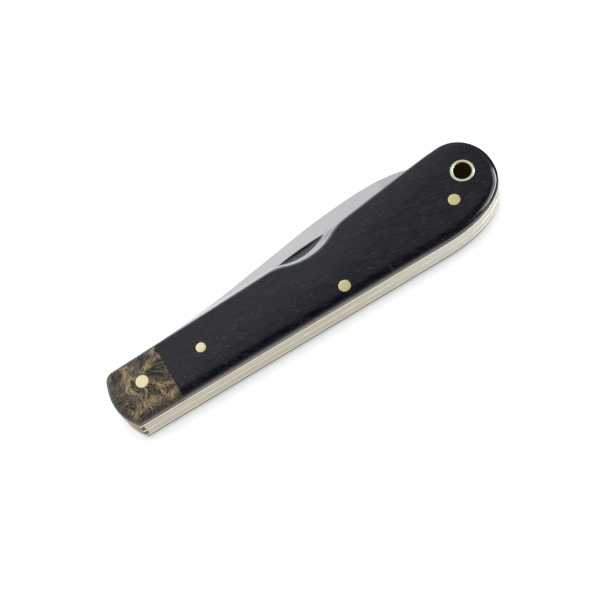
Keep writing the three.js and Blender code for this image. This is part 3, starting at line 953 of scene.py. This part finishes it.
def spring_steel():
    steel = Finish("spring_steel", Metallic=1.0)
    line = steel.noise((0.03, 0.03, 7.0), detail=4, rough=0.65)
    nick = steel.noise((0.6, 0.6, 11.0))
    cloud = steel.noise((0.08, 0.08, 0.5))
    shade = steel.layered(
        (0.555, 0.515, 0.425),
        (steel.spread(line, 0.30, 0.70), (0.40, 0.365, 0.295)),
        (steel.spread(cloud, 0.4, 0.7) * 0.3, (0.48, 0.445, 0.36)),
        # painted glare: the ground edge turns paler and greyer towards the butt
        (steel.spread(steel.along(0), *BUTT_GLARE) * 0.8, (0.55, 0.545, 0.505)))
    return steel.set(Base_Color=shade, Roughness=0.36 + line * 0.14,
                     Normal=steel.bump(line * 0.8 + nick * 0.2, 0.008, 0.6))


spring_edge = spring_outline()
spring_material = spring_steel()
for name, low, slot in (("front_spring", MAIN_SLOT_Z, MAIN_SLOT),
                        ("back_spring", SECOND_SLOT_Z, SECOND_SLOT)):
    piece = sheet(name + "_ground", spring_edge, low, low + slot, (MIDDLE_PIN, BUTT_PIN, TUBE))
    finished(piece, "handle", "spring_steel", name, material=spring_material)

# %% [markdown]
# A blade starts as a flat bar. The tang at its root is square, so that the spring can rest on
# a flat when the blade is shut, half open and open. The rest is ground: a wheel takes the steel
# away from the grind line down to the edge, and leaves a curved plunge where it stopped. The
# nail nick is pressed in at the grind line.

# %% Blade sizes
TANG_ROUND, TANG_HALF = 2.0, -(BACK_Y + SPRING_AT_TANG)
SHOULDER_GAP, SHOULDER_Y = 0.5, 8.2
ROOT_X = -SPRING_END_X + SHOULDER_GAP
RICASSO_Y = -2.1
PLUNGE_X, PLUNGE_BACK, PLUNGE_CURVE, PLUNGE_WIDTH = 13.0, 0.6, 3.2, 2.0
GRIND_SLOPE, GRIND_UNDER_SPINE, GRIND_OVER_EDGE = 0.085, 0.5, 0.4
EDGE_THICKNESS, POINT_THICKNESS, POINT_TAPER = 0.3, 0.7, 14.0
NICK_LENGTH, NICK_DEPTH, NICK_WIDTH, NICK_WALL = 14.0, 0.65, 2.5, 0.32
PIVOT_BORE = PIVOT_PIN[1] + 0.05

MAIN = {
    "slot": MAIN_SLOT, "reach": BUTT_X - 12.1, "point_y": 11.8, "grind_y": 10.4, "nick": 1,
    "spine": [(0.17, 9.2), (0.28, 10.2), (0.395, 11.8), (0.51, 13.45), (0.62, 15),
              (0.735, 15.95), (0.825, 16.15), (0.905, 15.45), (0.96, 13.9)],
    "belly": [(0.68, -1.3), (0.86, -1), (0.965, 4)],
}
SECOND = {
    "slot": SECOND_SLOT, "reach": BUTT_X - 28.7, "point_y": 7.4, "grind_y": 9.6, "nick": -1,
    "spine": [(0.21, 8.9), (0.35, 9.8), (0.49, 11.2), (0.625, 12.6), (0.75, 13.1),
              (0.86, 12.2), (0.945, 10.2)],
    "belly": [(0.69, -1.5), (0.85, -1.3), (0.96, 2)],
}
print("blades", [round(s["slot"] - 2 * SIDE_CLEARANCE, 2) for s in (MAIN, SECOND)], "mm thick")

# %% Blade drawings


class Blade:
    """The drawing of one blade: its outline and how thick it is at every place."""

    def __init__(self, spec):
        self.spec, self.reach = spec, spec["reach"]
        self.half = spec["slot"] / 2 - SIDE_CLEARANCE
        point = (self.reach, spec["point_y"])
        spine, belly = ([(share * self.reach, y) for share, y in spec[side]]
                        for side in ("spine", "belly"))
        self.spine = smooth_line([(ROOT_X, SHOULDER_Y), *spine, point], 12)
        belly = curve(*belly, point, steps=90)
        self.edge = np.r_[[(PLUNGE_X - 1, RICASSO_Y)], belly]

    def outline(self):
        inner = TANG_HALF - TANG_ROUND
        corner = (TANG_ROUND, TANG_ROUND)
        return subdivided(joined(
            (-inner, -TANG_HALF), (TANG_KICK_X, -TANG_HALF), (TANG_KICK_X + KICK_SLOPE, RICASSO_Y),
            self.edge[:-1], self.spine[::-1], (ROOT_X, TANG_HALF), (-inner, TANG_HALF),
            ellipse((-inner, inner), corner, 90, 180, 16),
            ellipse((-inner, -inner), corner, 180, 270, 16)[:-1]), 0.7)

    def grind_line(self, x):
        """Height where the bevel starts."""
        spine = np.interp(x, self.spine[:, 0], self.spine[:, 1])
        edge = np.interp(x, self.edge[:, 0], self.edge[:, 1])
        share = np.clip((x - PLUNGE_X + 1) / (self.reach - PLUNGE_X + 1), 0, 1)
        straight = self.spec["grind_y"] + GRIND_SLOPE * (x - SCALLOP[0])
        return np.maximum(np.minimum(straight, spine - GRIND_UNDER_SPINE * (1 - share ** 6)),
                          edge + GRIND_OVER_EDGE * (spine - edge))

    def ground(self, points):
        """Half the thickness without the nick."""
        x, y = points.T
        full = np.interp(self.reach - x, (0, POINT_TAPER), (POINT_THICKNESS / 2, self.half))
        line, edge = self.grind_line(x), np.interp(x, self.edge[:, 0], self.edge[:, 1])
        depth = np.clip((line - y) / np.maximum(line - edge, 0.2), 0, 1)
        bevel = EDGE_THICKNESS / 2 + (full - EDGE_THICKNESS / 2) * (1 - depth)
        start = PLUNGE_X - PLUNGE_BACK + PLUNGE_CURVE * (1 - depth) ** 2
        share = np.clip((x - start) / PLUNGE_WIDTH, 0, 1)
        return full - (full - bevel) * share ** 2 * (3 - 2 * share)

    def along_nick(self, points):
        """Distance along the nick from its middle, and below its deepest line."""
        angle = math.atan(GRIND_SLOPE)
        dx, dy = points[:, 0] - SCALLOP[0], points[:, 1] - self.spec["grind_y"]
        return (dx * math.cos(angle) + dy * math.sin(angle),
                dx * math.sin(angle) - dy * math.cos(angle))

    def nicked(self, points):
        """Half the thickness on the side that has the nick."""
        along, below = self.along_nick(points)
        radius = (NICK_LENGTH ** 2 / 4 + NICK_DEPTH ** 2) / (2 * NICK_DEPTH)
        deep = np.sqrt(np.maximum(radius ** 2 - along ** 2, 0)) - (radius - NICK_DEPTH)
        climb = np.where(below > 0, below / NICK_WIDTH, -below / NICK_WALL) * NICK_DEPTH
        pressed = np.minimum(self.ground(points), self.half - deep + climb)
        return np.where(np.abs(along) < NICK_LENGTH / 2, pressed, self.ground(points))

    def nick_line(self, side, share, steps=44):
        """A line across the nick: the deepest at share 0, the rim on one side at share 1."""
        along = np.linspace(-1, 1, steps + 1) * (NICK_LENGTH / 2 - 0.15)
        middle = np.array((SCALLOP[0], self.spec["grind_y"]))
        way = np.array((1, GRIND_SLOPE)) / math.hypot(1, GRIND_SLOPE)
        down = np.array((way[1], -way[0])) * side
        low, high = np.zeros(len(along)), np.full(len(along), NICK_WIDTH)
        for _ in range(30):
            guess = (low + high) / 2
            points = middle + along[:, None] * way + guess[:, None] * down
            inside = self.nicked(points) < self.ground(points) - 1e-5
            low, high = np.where(inside, guess, low), np.where(inside, high, guess)
        return middle + along[:, None] * way + (low * share)[:, None] * down


drawings = {"main": Blade(MAIN), "second": Blade(SECOND)}
print("blade reach", {k: round(d.reach, 1) for k, d in drawings.items()})

# %% Build the blades
NICK_SHADE_DEPTH = 0.1
GRIND_STEP, BLADE_GRID, BLADE_MARGIN = 0.8, (0.8, 0.55), 0.3


def blade_piece(name, drawing, middle_z):
    plan = Plan(drawing.outline())
    plan.hole(circle((0, 0), PIVOT_BORE))
    xs = np.arange(PLUNGE_X + 3.0, drawing.reach - GRIND_STEP, GRIND_STEP)
    plan.line(np.c_[xs, drawing.grind_line(xs)], crease=True)
    for way, share in ((1, 0), (-1, 1), (1, 1)):
        plan.line(drawing.nick_line(way, share), crease=True)
    for share in (0.33, 0.66):
        plan.line(drawing.nick_line(1, share)[3:-3])
    plan.fill(BLADE_GRID, BLADE_MARGIN)
    side = drawing.spec["nick"]
    front, back = (drawing.nicked, drawing.ground)[::side]
    piece = plate(name, plan, lambda p: middle_z + front(p), lambda p: middle_z - back(p))

    # The inside of the nick is painted dark, as painted shade in the recess.
    def pressed(co):
        gap = drawing.ground(co[:, :2]) - drawing.nicked(co[:, :2])
        on_side = (co[:, 2] - middle_z) * side > 0
        return np.where(on_side, np.clip(gap / NICK_SHADE_DEPTH, 0, 1), 0)

    attribute(piece, "nick", pressed)
    return piece


pieces = {
    key: blade_piece(key + "_blade_ground", drawings[key], low + drawings[key].spec["slot"] / 2)
    for key, low in (("main", MAIN_SLOT_Z), ("second", SECOND_SLOT_Z))}
print("blade faces", {key: len(piece.data.polygons) for key, piece in pieces.items()})

# %% Blade steel
SHEEN_BAND_Y = (0.0050, 0.0066)      # metres along y where the painted sheen on the bevel fades out


def blade_steel():
    steel = Finish("blade_steel", Metallic=1.0)
    line = steel.noise((0.04, 9.0, 2.0), math.radians(-4), 4, 0.6)
    cloud = steel.noise((0.06, 0.12, 0.3))
    scale = steel.noise((1.6, 1.6, 1.6), detail=3)
    nick = steel.stored("nick")
    # painted shade for the inside of the nail nick
    dark = steel.mix(scale, (0.09, 0.09, 0.09), (0.235, 0.235, 0.235))
    shade = steel.layered(
        (0.80, 0.80, 0.80),
        (steel.spread(line, 0.25, 0.75), (0.71, 0.71, 0.71)),
        (steel.spread(cloud, 0.4, 0.7) * 0.25, (0.74, 0.75, 0.79)),
        # painted sheen: the bevel below the grind line is painted lighter and bluer
        (steel.spread(steel.along(1), *SHEEN_BAND_Y, 1, 0), (0.93, 0.95, 0.985)),
        (steel.spread(nick, 0.05, 0.4), dark))
    return steel.set(Base_Color=shade, Roughness=0.30 + line * 0.12 + nick * 0.2,
                     Normal=steel.bump(line, 0.003, 0.3))


blade_material = blade_steel()
for key, piece in pieces.items():
    finished(piece, key + "_blade", "blade_steel", key + "_blade", material=blade_material)

# %% [markdown]
# Five pins and rivets hold the layers together. They are all the same thing at different
# sizes: a brass rod, peened over and filed flush, so its ends lean with the slab round them and
# bulge a little. One Geometry Nodes tree makes that rod from a few numbers, and each pin is
# that tree with its own numbers, placed on a single point.

# %% A tree for pins
PIN_NUMBERS = ("Radius", "Length", "Bulge", "Edge", "Lean X", "Lean Y")


def pin_tree():
    group = bpy.data.node_groups.new("peened_pin", "GeometryNodeTree")
    for name in ("Geometry", *PIN_NUMBERS, "Finish"):
        kind = {"Geometry": "Geometry", "Finish": "Material"}.get(name, "Float")
        group.interface.new_socket(name, in_out="INPUT", socket_type="NodeSocket" + kind)
    group.interface.new_socket("Geometry", in_out="OUTPUT", socket_type="NodeSocketGeometry")
    tree = Tree(group)
    given = {s.name: Wire(s) for s in group.nodes.new("NodeGroupInput").outputs}
    rod = tree.node("GeometryNodeMeshCylinder", Vertices=48, Side_Segments=1, Fill_Segments=7,
                    Radius=given["Radius"], Depth=given["Length"])
    position = tree.node("GeometryNodeInputPosition")
    x, y, z = (tree.node("SeparateXYZ", output=i, _0=position) for i in range(3))
    flat = tree.node("CombineXYZ", _0=x, _1=y)
    across = tree.node("VectorMath", {"operation": "LENGTH"}, output=1, _0=flat) / given["Radius"]
    lean = given["Lean X"] * x + given["Lean Y"] * y
    outward = given["Bulge"] * (1 - across ** 2) + lean - given["Edge"] * across ** 14
    lift = tree.node("Math", {"operation": "SIGN"}, _0=z) * outward
    shaped = tree.node("GeometryNodeSetPosition", Geometry=rod,
                       Offset=tree.node("CombineXYZ", _2=lift))
    copies = tree.node("GeometryNodeInstanceOnPoints", Points=given["Geometry"], Instance=shaped)
    real = tree.node("GeometryNodeRealizeInstances", Geometry=copies)
    painted = tree.node("GeometryNodeSetMaterial", Geometry=real, Material=given["Finish"])
    tree.node("NodeGroupOutput", _0=painted)
    return group


pins_tree = pin_tree()
print("tree with", len(pins_tree.nodes), "nodes")

# %% Set the pins
PIN_BULGE, PIN_EDGE = 0.012, 0.02
LEAN_STEP = 0.4


def slab_height(x, y):
    return float(slab_rise([(x, y)], FRONT_WALL)[0])


def outsides(pin):
    """Heights of the slabs' outer faces where a pin comes through, back and front."""
    height = slab_height(*pin[0])
    return BACK_LINER_Z - height, FRONT_SCALE_Z + height


def surface_lean(x, y):
    """Slope of the slab at a point, in x and y."""
    s = LEAN_STEP
    return ((slab_height(x + s, y) - slab_height(x - s, y)) / (2 * s),
            (slab_height(x, y + s) - slab_height(x, y - s)) / (2 * s))


def set_pin(name, pin, low, high, material):
    """One pin, from the tree, between two heights."""
    centre, radius = pin
    mesh = bpy.data.meshes.new(name)
    mesh.from_pydata(to_scene([centre], (low + high) / 2).tolist(), [], [])
    seed = added(name + "_seed", mesh)
    modifier = seed.modifiers.new("pin", "NODES")
    modifier.node_group = pins_tree
    sizes = (radius * MM, (high - low) * MM, PIN_BULGE * MM, PIN_EDGE * MM)
    given = {**dict(zip(PIN_NUMBERS, sizes + surface_lean(*centre))), "Finish": material}
    for item in pins_tree.interface.items_tree:
        if item.name in given:
            modifier[item.identifier] = given[item.name]
    evaluated = seed.evaluated_get(bpy.context.evaluated_depsgraph_get())
    piece = added(name, bpy.data.meshes.new_from_object(evaluated))
    bpy.data.objects.remove(seed)
    round_off(piece)
    return piece


pin_material = brass("pin_brass", (0.97, 0.88, 0.585), (0.86, 0.72, 0.405), (2.5, 0.4, 2.5), 0.24)
aged_material = brass("aged_brass", (0.97, 0.88, 0.49), (0.84, 0.73, 0.335), (2.5, 0.4, 2.5), 0.26)
rivet_back, rivet_front = outsides(SCALE_RIVET)
for node, pin, low, high, metal in (
        ("pivot_pin", PIVOT_PIN, *outsides(PIVOT_PIN), pin_material),
        ("middle_pin", MIDDLE_PIN, *outsides(MIDDLE_PIN), aged_material),
        ("butt_pin", BUTT_PIN, *outsides(BUTT_PIN), aged_material),
        ("front_scale_rivet", SCALE_RIVET, FRONT_LINER_Z, rivet_front, pin_material),
        ("back_scale_rivet", SCALE_RIVET, rivet_back, SECOND_SLOT_Z, pin_material)):
    piece = set_pin(node.replace("scale_", "") + "_peened", pin, low, high, metal)
    finished(piece, "handle", "pin_brass", node)

# %% [markdown]
# The lanyard tube is a brass tube with its mouth flared and rounded. It is turned like a bowl:
# a section of the wall goes once round the axis. Only the lips catch light. The inside is painted
# darker with depth, brown and then near black, as painted shade; the depth is stored on the
# points.

# %% Lanyard tube
TUBE_LIP, TUBE_RIM, TUBE_STEPS = 0.28, 0.07, 96
BORE_SHADE_REACH, BORE_SHADE_DEPTH = 0.3, 0.5


def tube_piece(name):
    (x, y), outer = TUBE
    low, high = outsides(TUBE)
    angles = np.radians(np.linspace(0, 90, 7))

    def lip(radius, size, way):
        """A quarter round at the mouth, from a wall at that radius."""
        return [(radius + way * size * (1 - math.sin(a)), high - size * (1 - math.cos(a)))
                for a in angles]

    mouth = lip(outer, TUBE_RIM, -1)[::-1] + lip(TUBE_BORE, TUBE_LIP, 1)
    section = np.array(mouth + [(r, low + high - z) for r, z in reversed(mouth)])
    shape = bmesh.new()
    rings = []
    for i in range(TUBE_STEPS):
        turn = 2 * math.pi * i / TUBE_STEPS
        round_axis = [(x + r * math.cos(turn), y + r * math.sin(turn)) for r, _ in section]
        rings.append([shape.verts.new(p) for p in to_scene(round_axis, section[:, 1])])
    for here, there in zip(rings, rings[1:] + rings[:1]):
        for j in range(len(section)):
            k = (j + 1) % len(section)
            shape.faces.new((here[j], there[j], there[k], here[k]))
    bmesh.ops.recalc_face_normals(shape, faces=shape.faces[:])
    mesh = bpy.data.meshes.new(name)
    shape.to_mesh(mesh)
    shape.free()
    piece = added(name, mesh)
    round_off(piece, sharpest=40)

    # How deep in the bore a point is, for the painted shade.
    def bore_shade_depth(co):
        radius = np.hypot(co[:, 0] - x, co[:, 1] - y)
        deep = np.minimum(high - co[:, 2], co[:, 2] - low)
        return np.where(radius < TUBE_BORE + BORE_SHADE_REACH, np.clip(deep / BORE_SHADE_DEPTH, 0, 1), 0)

    attribute(piece, "bore_shade", bore_shade_depth)
    return piece


def shaded_bore_brass():
    metal = Finish("tube_brass", Specular_IOR_Level=0.0)
    bore_shade = metal.stored("bore_shade")
    cloud = metal.noise((0.5, 0.5, 0.5), detail=3)
    bright = metal.mix(cloud * 0.4, (0.955, 0.90, 0.73), (0.84, 0.75, 0.50))
    dark = metal.mix(cloud, (0.0015, 0.0010, 0.0008), (0.004, 0.0025, 0.001))
    # painted shade: the bore turns brown, then near black with depth
    shade = metal.layered(bright, (metal.spread(bore_shade, 0.0, 0.35), (0.32, 0.20, 0.05)),
                          (metal.spread(bore_shade, 0.16, 0.75), dark))
    return metal.set(Base_Color=shade, Metallic=1 - bore_shade,
                     Roughness=0.34 + bore_shade * 0.5 + cloud * 0.08,
                     Normal=metal.bump(cloud, 0.01, 0.3))


piece = tube_piece("lanyard_tube_flared")
finished(piece, "handle", "pin_brass", "lanyard_tube", material=shaded_bore_brass())
